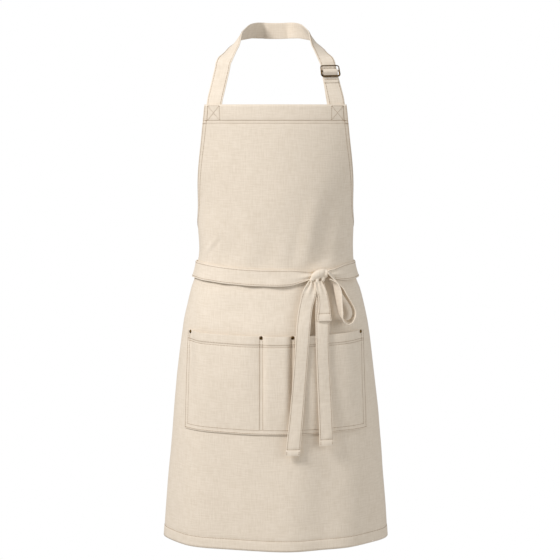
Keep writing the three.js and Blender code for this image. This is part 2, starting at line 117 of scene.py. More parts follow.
def bump(x, centre, width):
    """A soft bump of height 1 at centre, nothing beyond width."""
    t = abs(x - centre) / width
    return 0 if t >= 1 else (1 + math.cos(math.pi * t)) / 2


def curve_point(points, k, t):
    """A smooth curve through points, at a share t of the way from point k to the next."""
    last = len(points) - 1
    p0, p1, p2, p3 = (points[min(last, max(0, k + step))] for step in (-1, 0, 1, 2))
    return 0.5 * (2 * p1 + (p2 - p0) * t + (2 * p0 - 5 * p1 + 4 * p2 - p3) * t * t
                  + (3 * p1 - p0 - 3 * p2 + p3) * t * t * t)


def half_width(drop):
    return SKIRT_HALF if drop >= WAIST_CORNER else min(SKIRT_HALF, along(ARMHOLE, drop))


def spread(start, end, pitch, *stops):
    """Grid lines from start to end near the given pitch, with a line at each stop."""
    marks = sorted({start, end, *stops})
    lines = []
    for low, high in zip(marks, marks[1:]):
        cells = max(1, round((high - low) / pitch))
        lines += [low + (high - low) * i / cells for i in range(cells)]
    return lines + [end]


@lru_cache(maxsize=20000)
def section(drop):
    """Half width, half depth and the girth at every degree of an elliptical section."""
    wide, deep = along(SECTIONS, drop, 1), along(SECTIONS, drop, 2)
    girths = [0.0]
    for degree in range(180):
        angle = math.radians(degree + 0.5)
        girths.append(girths[-1] + math.hypot(wide * math.cos(angle), deep * math.sin(angle)) * math.pi / 180)
    return wide, deep, girths


def angle_at(girth, drop):
    wide, deep, girths = section(round(drop, 1))
    k = min(180, max(1, bisect_left(girths, abs(girth))))
    degree = k - 1 + (abs(girth) - girths[k - 1]) / (girths[k] - girths[k - 1])
    return math.copysign(math.radians(degree), girth)


# ---------------------------------------------------------------- how the cloth lies
def relief(girth, drop):
    """How far the cloth stands off the torso's smooth form, in soft folds."""
    over_waist = smooth((drop - 130) / 150) * (1 - smooth((drop - 300) / 22))
    under_waist = smooth((drop - 352) / 60)
    # the tie gathers the bib: small ripples, then two broad leaning folds beside the knot
    gathers = 1.5 * math.sin(girth / 13 + 0.9 * math.sin(girth / 37)) * bump(drop, 300, 75)
    lean = (drop - 300) * 0.22
    gathers += 3.6 * bump(girth, 54 - lean, 26) * over_waist
    gathers -= 5.0 * bump(girth, 94 - lean, 33) * over_waist
    # a slanting crease above the tie on the other side
    slant = girth + (drop - 300) * 0.8
    gathers += (1.3 * bump(slant, -156, 10) - 1.2 * bump(slant, -143, 9)) * bump(drop, 282, 34)
    gathers += 1.6 * bump(girth, -120, 30) * over_waist + 1.4 * bump(girth, -55, 26) * over_waist
    # the skirt: long soft folds, calmer where the pocket stiffens it
    calm = 1 - 0.55 * bump(drop, POCKET_TOP + POCKET_DEPTH / 2, POCKET_DEPTH * 0.75)
    skirt = 1.8 * math.sin(girth / 31 + 0.8) + 1.2 * math.sin(girth / 17 + 2.1 + drop / 260)
    skirt += 3.2 * bump(girth, 118 + (drop - 350) * 0.1, 34) * (1 - smooth((drop - 400) / 330))
    skirt += 2.2 * bump(girth, -150, 40) * (1 - smooth((drop - 400) / 420))
    skirt -= 9 * bump(girth, 80, 22) * bump(drop, 402, 50)  # the hollow behind the hanging ends
    hem = smooth((drop - 640) / 220)
    skirt += hem * (2.6 * math.sin(girth / 44 + 0.4) + 1.4 * math.sin(girth / 23 + 1.7))
    cloud = noise.noise(Vector((girth / 90, drop / 150, 3.1))) * 1.4
    cloud += noise.noise(Vector((girth / 34, drop / 46, 8.4))) * 0.5
    edge = smooth((half_width(drop) - abs(girth)) / 25)
    held = 1 - 0.9 * bump(drop, TIE_DROP, 40)  # the tie presses the folds flat
    tuck = 2.6 * bump(drop, 350, 19) * (0.7 + 0.3 * math.sin(girth / 11)) * held / max(0.3, held)
    folds = gathers * held - tuck + skirt * under_waist * calm
    return folds + cloud * held * (0.3 + 0.7 * edge) * smooth(drop / 90)


def on_torso(girth, drop, out=0.0, rise=0.0):
    """A place on the cloth and the way out of it, in millimetres."""
    wide, deep, _ = section(round(drop, 1))
    angle = angle_at(girth, drop)
    front = max(0.0, math.cos(angle))
    normal = Vector((math.sin(angle) / wide, -math.cos(angle) / deep, 0)).normalized()
    height = -BIB_TOP_DROP - drop * CLOTH_FALL - along(SAG, drop) * front * front + rise
    place = Vector((wide * math.sin(angle), -TORSO_SETBACK - deep * math.cos(angle), height))
    return place + normal * out, normal


def on_front(x, below, out):
    """The same form, found by a place seen from the front and a height below the bib top."""
    drop = below / CLOTH_FALL
    wide, deep, _ = section(round(drop, 1))
    angle = math.asin(x / wide)
    normal = Vector((math.sin(angle) / wide, -math.cos(angle) / deep, 0)).normalized()
    place = Vector((x, -TORSO_SETBACK - deep * math.cos(angle), -BIB_TOP_DROP - below))
    return place + normal * out, normal


def hung(x, below, out):
    """A place seen from the front at x itself, out from the form."""
    _, normal = on_front(x, below, 0)
    return on_front(x - normal.x * out, below, out)


def line_on(surface, start, end, pitch=4.0, out=0.0):
    """Places on a surface along a straight chalk line between two (girth, drop) marks."""
    cells = max(2, round(math.dist(start, end) / pitch))
    spots = [(start[0] + (end[0] - start[0]) * i / cells, start[1] + (end[1] - start[1]) * i / cells)
             for i in range(cells + 1)]
    return [surface(girth, drop, out) for girth, drop in spots]


def on_panel(girth, drop, out=0.0):
    """A place on the panel's outer face."""
    edge = half_width(drop) - abs(girth)
    turned = max(smooth((BIB_BAND - drop + 1) / 2), smooth((drop - PANEL_LENGTH + BOTTOM_HEM + 1) / 2),
                 smooth((SIDE_HEM + 1 - edge) / 2))
    groove = max(bump(drop, BIB_BAND, 3.2), bump(drop, BIB_BAND + SECOND_SEAM, 3) * 0.6,
                 bump(drop, PANEL_LENGTH - BOTTOM_HEM, 3.2), bump(edge, SIDE_HEM - 1, 2.6))
    lift = CANVAS_LIFT + 0.5 * turned - 0.6 * groove + relief(girth, drop)
    return on_torso(girth, drop, lift + out)


COMPARTMENTS = (
    (-POCKET_HALF + RIVET_INSET + 7, DIVIDERS[0] - 2.5),
    (DIVIDERS[0] + 2.5, DIVIDERS[1] - 2.5),
    (DIVIDERS[1] + 2.5, POCKET_HALF - RIVET_INSET - 7),
)


def gape(girth, drop):
    """How far the pocket's front stands off the panel: most at each mouth, nothing at the seams."""
    depth = min(1, max(0, (POCKET_TOP + POCKET_DEPTH - drop) / POCKET_DEPTH))
    for low, high in COMPARTMENTS:
        if low < girth < high:
            over = min(1, 4 * min(girth - low, high - girth) / (high - low))
            return POCKET_GAPE * math.sin(over * math.pi / 2) * math.sin(min(1, 1.5 * depth) * math.pi / 2)
    return 0.0


def on_pocket(girth, drop, out=0.0):
    """A place on the pocket's outer face."""
    edge = min(POCKET_HALF - abs(girth), POCKET_TOP + POCKET_DEPTH - drop)
    turned = max(smooth((POCKET_TOP + POCKET_HEM - drop + 1) / 2), smooth((10 - edge) / 2))
    seams = [bump(drop, POCKET_TOP + 19.5, 4), bump(edge, 6, 4)]
    seams += [bump(girth, divider, 5) for divider in DIVIDERS]
    pucker = 0.35 * noise.noise(Vector((girth / 7, drop / 7, 1.7))) * max(bump(edge, 8, 16), 0.25)
    lift = 3.4 + 0.6 * turned - 0.8 * max(seams) + pucker + gape(girth, drop) + relief(girth, drop)
    return on_torso(girth, drop, lift + out)


# ---------------------------------------------------------------- materials
def linear(code):
    """An sRGB hex colour as the linear values that a shader takes."""
    parts = [int(code[i:i + 2], 16) / 255 for i in (1, 3, 5)]
    return [c / 12.92 if c <= 0.04045 else ((c + 0.055) / 1.055) ** 2.4 for c in parts] + [1]


def add_node(material, kind, links=None, **settings):
    """Adds a node; links maps its inputs to other nodes' outputs or to plain values."""
    nodes = material.node_tree
    node = nodes.nodes.new("ShaderNode" + kind)
    for name, value in settings.items():
        setattr(node, name, value)
    for name, value in (links or {}).items():
        if isinstance(value, bpy.types.NodeSocket):
            nodes.links.new(value, node.inputs[name])
        else:
            node.inputs[name].default_value = value
    return node


def new_material(name):
    material = bpy.data.materials.new(name)
    material.use_nodes = True
    material.node_tree.nodes.clear()
    return material


def finish_material(material, links, height=None, strength=0.3, distance=0.0004):
    if height is not None:
        raised = add_node(material, "Bump", {"Height": height, "Strength": strength, "Distance": distance})
        links = {**links, "Normal": raised.outputs["Normal"]}
    shader = add_node(material, "BsdfPrincipled", links)
    add_node(material, "OutputMaterial", {"Surface": shader.outputs["BSDF"]})
    return material


def woven_cotton(name, light, dark, pitch, follows_cloth=True):
    """Undyed cotton canvas in a plain weave: matt and napped, with slubs along both threads.

    The real threads lie about 0.5 mm apart, too fine to show, so the weave is drawn at pitch.
    """
    m = new_material(name)
    if follows_cloth:
        place = add_node(m, "UVMap", uv_map="cloth").outputs["UV"]
    else:
        place = add_node(m, "TexCoord").outputs["Object"]
    turns = 1 / (pitch * MM)
    waves = []
    for direction in ("X", "Y"):
        wave = add_node(m, "TexWave", {"Vector": place, "Scale": turns / 20 * math.pi, "Distortion": 1.2,
                                       "Detail": 1.0, "Detail Scale": 2.0},
                        wave_type="BANDS", bands_direction=direction)
        waves.append(wave.outputs["Fac"])
    weave = add_node(m, "Math", {0: waves[0], 1: waves[1]}, operation="MULTIPLY").outputs[0]
    slubs = []
    for stretch in ((45, 420, 45), (420, 45, 45)):  # thick and thin places, 22 mm long and 2.4 mm wide
        turned = add_node(m, "Mapping", {"Vector": place, "Scale": stretch})
        noisy = add_node(m, "TexNoise", {"Vector": turned.outputs[0], "Scale": 1.0, "Detail": 2.0})
        slubs.append(noisy.outputs[0])
    slub = add_node(m, "Math", {0: slubs[0], 1: slubs[1]}, operation="ADD").outputs[0]
    cloud = add_node(m, "TexNoise", {"Vector": place, "Scale": 30.0, "Detail": 3.0}).outputs[0]
    shade = add_node(m, "Math", {0: cloud, 1: 0.35, 2: slub}, operation="MULTIPLY_ADD").outputs[0]
    shade = add_node(m, "MapRange", {"Value": shade, "From Min": 0.9, "From Max": 1.45}).outputs[0]
    deeper = add_node(m, "Math", {0: weave, 1: 0.22, 2: shade}, operation="MULTIPLY_ADD").outputs[0]
    colour = add_node(m, "Mix", {"Factor": deeper, "A": linear(dark), "B": linear(light)}, data_type="RGBA")
    height = add_node(m, "Math", {0: weave, 1: 0.8, 2: slub}, operation="MULTIPLY_ADD").outputs[0]
    return finish_material(
        m,
        {"Base Color": colour.outputs["Result"], "Roughness": 0.92, "Specular IOR Level": 0.25,
         "Sheen Weight": 0.12, "Sheen Roughness": 0.6},
        height, strength=0.3, distance=0.0004,
    )


def sewing_thread():
    """Tan polyester-cotton topstitching thread: dull, a little darker than the cloth."""
    m = new_material("tan_topstitch_thread")
    place = add_node(m, "TexCoord").outputs["Object"]
    grain = add_node(m, "TexNoise", {"Vector": place, "Scale": 900.0, "Detail": 1.0}).outputs[0]
    colour = add_node(m, "Mix", {"Factor": grain, "A": linear("#8A7050"), "B": linear("#AF9472")},
                      data_type="RGBA")
    return finish_material(m, {"Base Color": colour.outputs["Result"], "Roughness": 0.7}, grain, 0.3, 0.0002)


def antique_brass():
    """Cast brass, darkened and then rubbed: patches of brown-black and warm brass, spread by noise."""
    m = new_material("antique_brass")
    place = add_node(m, "TexCoord").outputs["Object"]
    patina = add_node(m, "TexNoise", {"Vector": place, "Scale": 260.0, "Detail": 4.0}).outputs[0]
    worn = add_node(m, "MapRange", {"Value": patina, "From Min": 0.42, "From Max": 0.68}).outputs[0]
    colour = add_node(m, "Mix", {"Factor": worn, "A": linear("#3F2F1B"), "B": linear("#8A6E42")},
                      data_type="RGBA")
    rough = add_node(m, "MapRange", {"Value": patina, "To Min": 0.5, "To Max": 0.3}).outputs[0]
    links = {"Base Color": colour.outputs["Result"], "Metallic": 0.9, "Roughness": rough}
    return finish_material(m, links, patina, 0.25, 0.0002)


CANVAS = woven_cotton("natural_cotton_canvas", "#F1E6D7", "#E6DAC9", 1.1)
WEBBING = woven_cotton("folded_canvas_web", "#F2E7D8", "#E7DBCA", 1.1)
KNOTTED = woven_cotton("knotted_canvas_web", "#F2E7D8", "#E7DBCA", 1.1, follows_cloth=False)
THREAD = sewing_thread()
BRASS = antique_brass()


# ---------------------------------------------------------------- making pieces
def to_object(name, bm, material, shade_smooth=True):
    mesh = bpy.data.meshes.new(name)
    bm.to_mesh(mesh)
    bm.free()
    mesh.materials.append(material)
    if shade_smooth:
        mesh.polygons.foreach_set("use_smooth", [True] * len(mesh.polygons))
    piece = bpy.data.objects.new(name, mesh)
    bpy.context.collection.objects.link(piece)
    return piece


def cloth_grid(name, columns, rows, corner, material, uv=None, thickness=1.0, thick=None):
    """A sheet of cells. corner(i, j) gives each corner on the outer face in millimetres.

    thick(i, j), from 0 to 1, is how much of the thickness a corner has; without it all is full.
    """
    bm = bmesh.new()
    bmesh.ops.create_grid(bm, x_segments=columns, y_segments=rows, size=1)
    layer = bm.loops.layers.uv.new("cloth")
    spots = {v: (round((v.co.x + 1) / 2 * columns), round((v.co.y + 1) / 2 * rows)) for v in bm.verts}
    for face in bm.faces:
        for loop in face.loops:
            i, j = spots[loop.vert]
            loop[layer].uv = uv(i, j) if uv else (i / columns, j / rows)
    weights = []
    bm.verts.index_update()
    for v in bm.verts:
        weights.append(thick(*spots[v]) if thick else 1.0)
        v.co = corner(*spots[v]) * MM
    piece = to_object(name, bm, material)
    wall = piece.modifiers.new("cloth", "SOLIDIFY")
    wall.thickness = thickness * MM
    wall.offset = -1
    wall.use_even_offset = False
    if thick:
        group = piece.vertex_groups.new(name="layers")
        for index, weight in enumerate(weights):
            group.add([index], weight, "REPLACE")
        wall.vertex_group = "layers"
        wall.thickness_vertex_group = 0.0
    return piece


def web_uv(columns, run):
    """Lays a web's own width and run out as its UV, in metres."""
    return lambda i, j: ((i / columns - 0.5) * WEB * MM, run[j] * MM)


def rounded(piece, width, segments=2):
    edge = piece.modifiers.new("edges", "BEVEL")
    edge.width = width * MM
    edge.segments = segments
    edge.limit_method = "ANGLE"
    edge.angle_limit = math.radians(50)
    edge.harden_normals = False
    return piece


def squared(stations):
    """Gives stations of (place, normal, ...) a square frame: (place, normal, across, ...)."""
    framed = []
    for i, (place, normal, *rest) in enumerate(stations):
        run = (stations[min(len(stations) - 1, i + 1)][0] - stations[max(0, i - 1)][0]).normalized()
        face = (normal - run * normal.dot(run)).normalized()
        framed.append((place, face, run.cross(face), *rest))
    return framed


def lengths(places):
    total = [0.0]
    for one, other in zip(places, places[1:]):
        total.append(total[-1] + (other - one).length)
    return total


def ribbon(name, stations, material, thickness, columns=8, wave=None):
    """A band of web through stations of (place, normal, across, width). Place is on its outer face."""
    run = lengths([s[0] for s in stations])

    def corner(i, j):
        place, normal, across, width = stations[j]
        side = 2 * i / columns - 1
        lift = wave(side, run[j]) if wave else 0
        return place + across * (side * width / 2) + normal * lift

    piece = cloth_grid(name, columns, len(stations) - 1, corner, material, web_uv(columns, run), thickness)
    return rounded(piece, min(0.5, thickness * 0.3))


STITCH = 3.3  # from one stitch to the next
THREAD_WIDTH = 1.0


def stitch_shape():
    bm = bmesh.new()
    bmesh.ops.create_icosphere(bm, subdivisions=1, radius=1)
    bmesh.ops.scale(bm, vec=Vector((STITCH * 0.42, THREAD_WIDTH / 2, THREAD_WIDTH / 2)) * MM, verts=bm.verts)
    mesh = bpy.data.meshes.new("stitch")
    bm.to_mesh(mesh)
    bm.free()
    return mesh


STITCH_SHAPE = stitch_shape()


def sew(name, rows, pitch=STITCH):
    """Rows of stitches. Each row is a list of (place, normal) along a seam on a cloth's outer face."""
    bm = bmesh.new()
    for row in rows:
        run = lengths([place for place, _ in row])
        count = max(1, int(run[-1] / pitch))
        k = 0
        for n in range(count):
            middle = (n + 0.5) * run[-1] / count
            while k < len(run) - 2 and run[k + 1] < middle:
                k += 1
            t = (middle - run[k]) / max(1e-6, run[k + 1] - run[k])
            place = row[k][0].lerp(row[k + 1][0], t)
            along_seam = (row[k + 1][0] - row[k][0]).normalized()
            up = row[k][1].lerp(row[k + 1][1], t)
            up = (up - along_seam * up.dot(along_seam)).normalized()
            turn = Matrix((along_seam, up.cross(along_seam), up)).transposed().to_4x4()
            one = STITCH_SHAPE.copy()
            one.transform(Matrix.Translation((place + up * 0.12) * MM) @ turn)
            bm.from_mesh(one)
            bpy.data.meshes.remove(one)
    return to_object(name, bm, THREAD)


def belongs(piece, body):
    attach(piece, body)
    return piece


# ---------------------------------------------------------------- camera and light
def set_camera():
    """A long lens a little above the waist, looking slightly down."""
    camera = bpy.data.cameras.new("camera")
    camera.sensor_width = 36
    camera.lens = 111.2
    camera.clip_end = 50
    holder = bpy.data.objects.new("camera", camera)
    bpy.context.collection.objects.link(holder)
    holder.location = (0.0088, -3.522, -0.199)
    holder.rotation_euler = (math.radians(90 - 4.96), 0, 0)
    bpy.context.scene.camera = holder


def add_light(name, place, target, size, power, colour="#FFFFFF"):
    lamp = bpy.data.lights.new(name, "AREA")
    lamp.size = size
    lamp.energy = power
    lamp.color = linear(colour)[:3]
    holder = bpy.data.objects.new(name, lamp)
    bpy.context.collection.objects.link(holder)
    holder.location = place
    holder.rotation_euler = (Vector(target) - Vector(place)).to_track_quat("-Z", "Y").to_euler()


def set_studio():
    """A white sweep with a soft key high on the left and a weak fill."""
    world = bpy.data.worlds.new("studio")
    bpy.context.scene.world = world
    world.use_nodes = True
    tree = world.node_tree
    tree.nodes.clear()
    path = tree.nodes.new("ShaderNodeLightPath")
    seen = tree.nodes.new("ShaderNodeBackground")
    seen.inputs["Color"].default_value = (1, 1, 1, 1)
    round_about = tree.nodes.new("ShaderNodeBackground")
    round_about.inputs["Color"].default_value = linear("#F4F1EC")
    round_about.inputs["Strength"].default_value = 0.42
    mix = tree.nodes.new("ShaderNodeMixShader")
    tree.links.new(path.outputs["Is Camera Ray"], mix.inputs["Fac"])
    tree.links.new(round_about.outputs[0], mix.inputs[1])
    tree.links.new(seen.outputs[0], mix.inputs[2])
    tree.links.new(mix.outputs[0], tree.nodes.new("ShaderNodeOutputWorld").inputs["Surface"])
    add_light("key", (-2.1, -1.9, 1.45), (0, -0.1, -0.55), 1.0, 82, "#FFFCFA")
    add_light("fill", (2.5, -1.6, 0.1), (0, -0.1, -0.6), 1.8, 21)
    bpy.context.scene.view_settings.view_transform = "Standard"
    bm = bmesh.new()
    bmesh.ops.create_circle(bm, cap_ends=True, segments=96, radius=1.2)
    bmesh.ops.translate(bm, vec=(0, -0.06, -1.42), verts=bm.verts)
    floor_paint = new_material("pale_studio_floor")
    finish_material(floor_paint, {"Base Color": linear("#D2CFCB"), "Roughness": 0.7})
    floor = to_object("floor", bm, floor_paint, shade_smooth=False)


# ---------------------------------------------------------------- panel
HEM_THICK = 2.0  # the canvas turned twice; a single layer is a part of this


def panel_seams():
    """Rows along the bib band, the bottom and side hems, and a crossed box where each strap is sewn."""
    half = SKIRT_HALF

    def edge_row(side, inset):
        return [on_panel(side * (half_width(d) - inset), d) for d in spread(2, PANEL_LENGTH, 6)]

    def level(drop, low, high):
        return [on_panel(g, drop) for g in spread(low, high, 6)]

    bib = half_width(BIB_BAND)
    rows = [level(BIB_BAND, -bib, bib), level(BIB_BAND + SECOND_SEAM, -bib + 4, bib - 4)]
    rows.append(level(PANEL_LENGTH - BOTTOM_HEM, -half + 2, half - 2))
    inner, outer = STRAP_CENTRE - 12.5, STRAP_CENTRE + 12.5
    top, low = 2.5, BIB_BAND - 1
    for side in (-1, 1):
        rows += [edge_row(side, SIDE_HEM - 1), edge_row(side, 2)]
        corners = [(side * g, d) for g, d in ((inner, top), (outer, top), (outer, low), (inner, low))]
        for one, other in ((0, 1), (1, 2), (3, 0), (0, 2), (1, 3)):
            rows.append(line_on(on_panel, corners[one], corners[other]))
    return rows


def band_tacks():
    """Dense short rows that lock the ends of the bib band's seams."""
    bib = half_width(BIB_BAND)
    tacks = []
    for side in (-1, 1):
        for girth, drop in ((bib - 8, BIB_BAND), (bib - 2, BIB_BAND + 6)):
            tacks.append([on_panel(side * (girth + end), drop, 0.1) for end in (-2.5, 2.5)])
    return tacks


def make_panel():
    """The apron's one cut of canvas, with its turned and stitched edges."""
    half = SKIRT_HALF
    rim = SIDE_HEM + 1.5  # the hem keeps its width where the panel narrows
    lines = [side * (half - inset) for side in (-1, 1) for inset in (2, 7.5, 9, rim)]
    girths = spread(-half, half, 4.6, *lines)
    stops = [BIB_BAND + step for step in (-2.5, -1, 0, 1, 2.5, SECOND_SEAM, SECOND_SEAM + 2)]
    stops += [PANEL_LENGTH - BOTTOM_HEM + step for step in (-2.5, -1, 0, 1, 2.5)]
    drops = spread(0, PANEL_LENGTH, 4.8, WAIST_CORNER, *stops)[::-1]

    def girth_at(i, drop):
        wide = half_width(drop)
        girth = girths[i]
        if abs(girth) >= half - rim:
            return math.copysign(wide - (half - abs(girth)), girth)
        return girth * (wide - rim) / (half - rim)

    def layers(i, j):
        edge = half - abs(girths[i])
        drop = drops[j]
        turned = edge < SIDE_HEM + 0.5 or drop < BIB_BAND + 0.5 or drop > PANEL_LENGTH - BOTTOM_HEM - 0.5
        return 1.0 if turned else 0.42

    panel = cloth_grid(
        "apron_cloth", len(girths) - 1, len(drops) - 1,
        lambda i, j: on_panel(girth_at(i, drops[j]), drops[j])[0], CANVAS,
        lambda i, j: (girth_at(i, drops[j]) * MM, drops[j] * MM), HEM_THICK, layers,
    )
    belongs(panel, "apron")
    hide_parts("apron_panel")
    seams = sew("panel_stitching", panel_seams())
    belongs(seams, "apron")
    belongs(sew("panel_bartacks", band_tacks(), 0.9), "apron")
    area = sum(2 * half_width(d) for d in range(PANEL_LENGTH)) * MM * MM


# ---------------------------------------------------------------- pocket
def make_pocket():
    """A patch pocket: one cut, sewn down at its edges and along two dividers."""
    bottom = POCKET_TOP + POCKET_DEPTH
    insets = (3, 6, 9, 12)
    lines = [side * (POCKET_HALF - inset) for side in (-1, 1) for inset in insets]
    lines += [divider + step for divider in DIVIDERS for step in (-5, -2.5, 0, 2.5, 5)]
    girths = spread(-POCKET_HALF, POCKET_HALF, 3.2, *lines)
    lines = [POCKET_TOP + step for step in (15.5, 17.5, 19.5, 21.5, 23.5)]
    lines += [bottom - inset for inset in insets]
    drops = spread(POCKET_TOP, bottom, 3.2, *lines)[::-1]

    def layers(i, j):
        return 1.0 if drops[j] < POCKET_TOP + POCKET_HEM + 0.5 else 0.55

    pocket = cloth_grid(
        "pocket_cloth", len(girths) - 1, len(drops) - 1,
        lambda i, j: on_pocket(girths[i], drops[j])[0], CANVAS,
        lambda i, j: (girths[i] * MM, drops[j] * MM + 0.4), 1.9, layers,
    )
    rounded(pocket, 0.5)
    belongs(pocket, "apron")
    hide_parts("pocket_panel")

    def level(drop, inset=1.0):
        return [on_pocket(g, drop) for g in spread(-POCKET_HALF + inset, POCKET_HALF - inset, 4)]

    def upright(girth, low=POCKET_TOP + 1, high=bottom - 1):
        return [on_pocket(girth, d) for d in spread(low, high, 4)]

    inner = POCKET_SEAM + POCKET_SEAM_GAP
    rows = [level(POCKET_TOP + 17.3), level(POCKET_TOP + 21.7)]
    rows += [level(bottom - POCKET_SEAM, 2), level(bottom - inner, 9)]
    for divider in DIVIDERS:
        rows += [upright(divider - 3.1, high=bottom - 10), upright(divider + 3.1, high=bottom - 10)]
    for side in (-1, 1):
        rows.append(upright(side * (POCKET_HALF - POCKET_SEAM)))
        rows.append(upright(side * (POCKET_HALF - inner), high=bottom - 9))
    seams = sew("pocket_stitching", rows)
    belongs(seams, "apron")


# ---------------------------------------------------------------- rivets
def spin_up(outline, steps=28):
    """A turned shape about Z from an outline of (radius, height) in millimetres."""
    bm = bmesh.new()
    verts = [bm.verts.new((r * MM, 0, z * MM)) for r, z in outline]
    edges = [bm.edges.new(pair) for pair in zip(verts, verts[1:])]
    bmesh.ops.spin(bm, geom=verts + edges, cent=(0, 0, 0), axis=(0, 0, 1), angle=math.tau, steps=steps,
                   use_merge=True, dvec=(0, 0, 0))
    bmesh.ops.remove_doubles(bm, verts=bm.verts, dist=1e-6)
    bmesh.ops.recalc_face_normals(bm, faces=bm.faces)
    return bm


def square_on(surface, girth, drop):
    place = surface(girth, drop)[0]
    over = surface(girth + 2, drop)[0] - surface(girth - 2, drop)[0]
    down = surface(girth, drop + 2)[0] - surface(girth, drop - 2)[0]
    return place, down.cross(over).normalized()


def make_rivets():
    spots = (-POCKET_HALF + RIVET_INSET, *DIVIDERS, POCKET_HALF - RIVET_INSET)
    # outlines of (radius, height): a domed cap with its post, and a dished burr
    cap = [(0, 1.75), (0.9, 1.68), (1.9, 1.42), (2.75, 0.98), (3.3, 0.45), (3.5, 0.0), (3.3, -0.3),
           (1.2, -0.4), (1.2, -4.6), (0, -4.6)]
    burr = [(1.35, 0), (3.2, 0), (3.3, -0.3), (3.1, -0.75), (2.2, -0.95), (1.35, -0.7), (1.35, 0)]
    for number, girth in enumerate(spots, 1):
        drop = POCKET_TOP + RIVET_DROP
        for outline, surface, lift, name, node in (
            (cap, on_pocket, 0.5, f"rivet_cap_{number}", f"pocket_rivet_{number}"),
            (burr, on_torso, relief(girth, drop) - 0.75, f"rivet_washer_{number}", f"rivet_burr_{number}"),
        ):
            place, normal = square_on(surface, girth, drop)
            bm = spin_up(outline)
            turn = Vector((0, 0, 1)).rotation_difference(normal).to_matrix().to_4x4()
            seat = Matrix.Translation((place + normal * lift) * MM)
            bmesh.ops.transform(bm, matrix=seat @ turn, verts=bm.verts)
            piece = to_object(name, bm, BRASS)
            belongs(piece, "apron")
            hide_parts(node)


# ---------------------------------------------------------------- neck strap
STRAP_THICK = 1.5
RUN_TOP = Vector((99.5, -70 - TORSO_SETBACK, -BIB_TOP_DROP + 85))  # where its straight run ends


def strap_run(side):
    """The straight stretch from the bib's corner: its start, direction, normal and across."""
    start, normal = on_torso(side * STRAP_CENTRE, 0, -2.9)  # behind the bib's two layers
    start = start + Vector((0, 0, 2))
    top = Vector((side * RUN_TOP.x, RUN_TOP.y, RUN_TOP.z))
    direction = (top - start).normalized()
    face = (normal - direction * normal.dot(direction)).normalized()
    return start, direction, face, direction.cross(face)


def strap_path():
    """Places on the strap's outer face from the wearer's left corner, over the nape, to the right."""
    start, direction, face, _ = strap_run(1)
    half = []
    for drop in (STRAP_SEWN, 20, 12, 4):
        place, normal = on_torso(STRAP_CENTRE, drop, -2.6 + STRAP_THICK)
        half.append((place, normal))
    for up in (10, 30, 50, 70, 88):
        half.append((start + direction * up + face * STRAP_THICK, face))
    bends = (((85, -47, 108), (0.54, -0.6, 0.58)), ((69, -8, 136), (0.84, 0.05, 0.54)),
             ((49, 35, 148), (0.68, 0.65, 0.35)))
    for (x, y, z), facing in bends:
        normal = Vector(facing).normalized()
        half.append((Vector((x, y - TORSO_SETBACK, z - BIB_TOP_DROP)) + normal * STRAP_THICK, normal))
    half.append((Vector((28, -2.5 + STRAP_THICK, 0.6)), Vector((0.22, 0.97, 0.03)).normalized()))
    half.append((Vector((14, STRAP_THICK, 0)), Vector((0, 1, 0))))
    mirror = [(Vector((-p.x, p.y, p.z)), Vector((-n.x, n.y, n.z))) for p, n in half[::-1]]
    return half + mirror


def refine(stations, pitch):
    """More stations of (place, ...) on one smooth curve through the given ones."""
    places = [station[0] for station in stations]
    fine = []
    for k, (here, beyond) in enumerate(zip(stations, stations[1:])):
        cells = max(1, round((beyond[0] - here[0]).length / pitch))
        for i in range(cells):
            turn = smooth(i / cells)
            rest = [a * (1 - turn) + b * turn for a, b in zip(here[1:], beyond[1:])]
            fine.append((curve_point(places, k, i / cells), *rest))
    fine.append(tuple(stations[-1]))
    return fine


def edge_rows(stations, inset, out=0.0, first=0, last=None):
    """Seam rows along both edges of a band."""
    rows = []
    for side in (-1, 1):
        rows.append([(place + across * side * (width / 2 - inset) + normal * out, normal)
                     for place, normal, across, width in stations[first:last]])
    return rows


def make_strap():
    """The neck strap: canvas folded to a web and stitched down both edges."""
    path = refine(strap_path(), 4)
    stations = []
    for place, normal in path:
        spread_out = smooth((-85 - place.z) / 45) if place.x > 0 else 0
        stations.append((place, normal.normalized(), WEB + 2.4 * spread_out))
    stations = squared(stations)
    strap = ribbon("neck_strap", stations, WEBBING, STRAP_THICK, 8,
                   lambda s, run: -0.3 * s * s + 0.25 * math.sin(run / 31 + 2 * s))
    belongs(strap, "apron")
    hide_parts("neck_strap_left", "neck_strap_right", "neck_strap_nape")
    seams = sew("strap_stitching", edge_rows(stations, 3, -0.12))
    belongs(seams, "apron")


def make_strap_free_end():
    """The end that has passed the buckle: it lies behind the strap and shows a little beside it."""
    start, direction, face, across = strap_run(1)
    free = []
    for up in range(56, -13, -4):
        peek = 3.4 * smooth((56 - up) / 60)
        free.append((start + direction * up - face * 0.9 - across * peek, face, across, WEB))
    end = ribbon("strap_free_end", free[::-1], WEBBING, 1.1, 6, lambda s, run: -0.2 * s * s)
    belongs(end, "apron")


# ---------------------------------------------------------------- buckle
BUCKLE_HALF = 18.6
BUCKLE_HIGH = 10.6  # half its height, up the strap
BUCKLE_CORNER = 4.0
BUCKLE_WEB = 30
BAR_OUT = 3.3
BAR_RADIUS = 1.25
TILTED = Matrix.Rotation(-BUCKLE_TILT, 4, "Z")


def on_strap(bm, up, out):
    """Moves a piece drawn with +X across the strap, +Y up its run and +Z out of it."""
    start, direction, face, across = strap_run(1)
    frame_of = Matrix((across, direction, face)).transposed().to_4x4()
    place = start + direction * up + face * (1.6 + out)
    bmesh.ops.transform(bm, matrix=Matrix.Translation(place * MM) @ frame_of, verts=bm.verts)


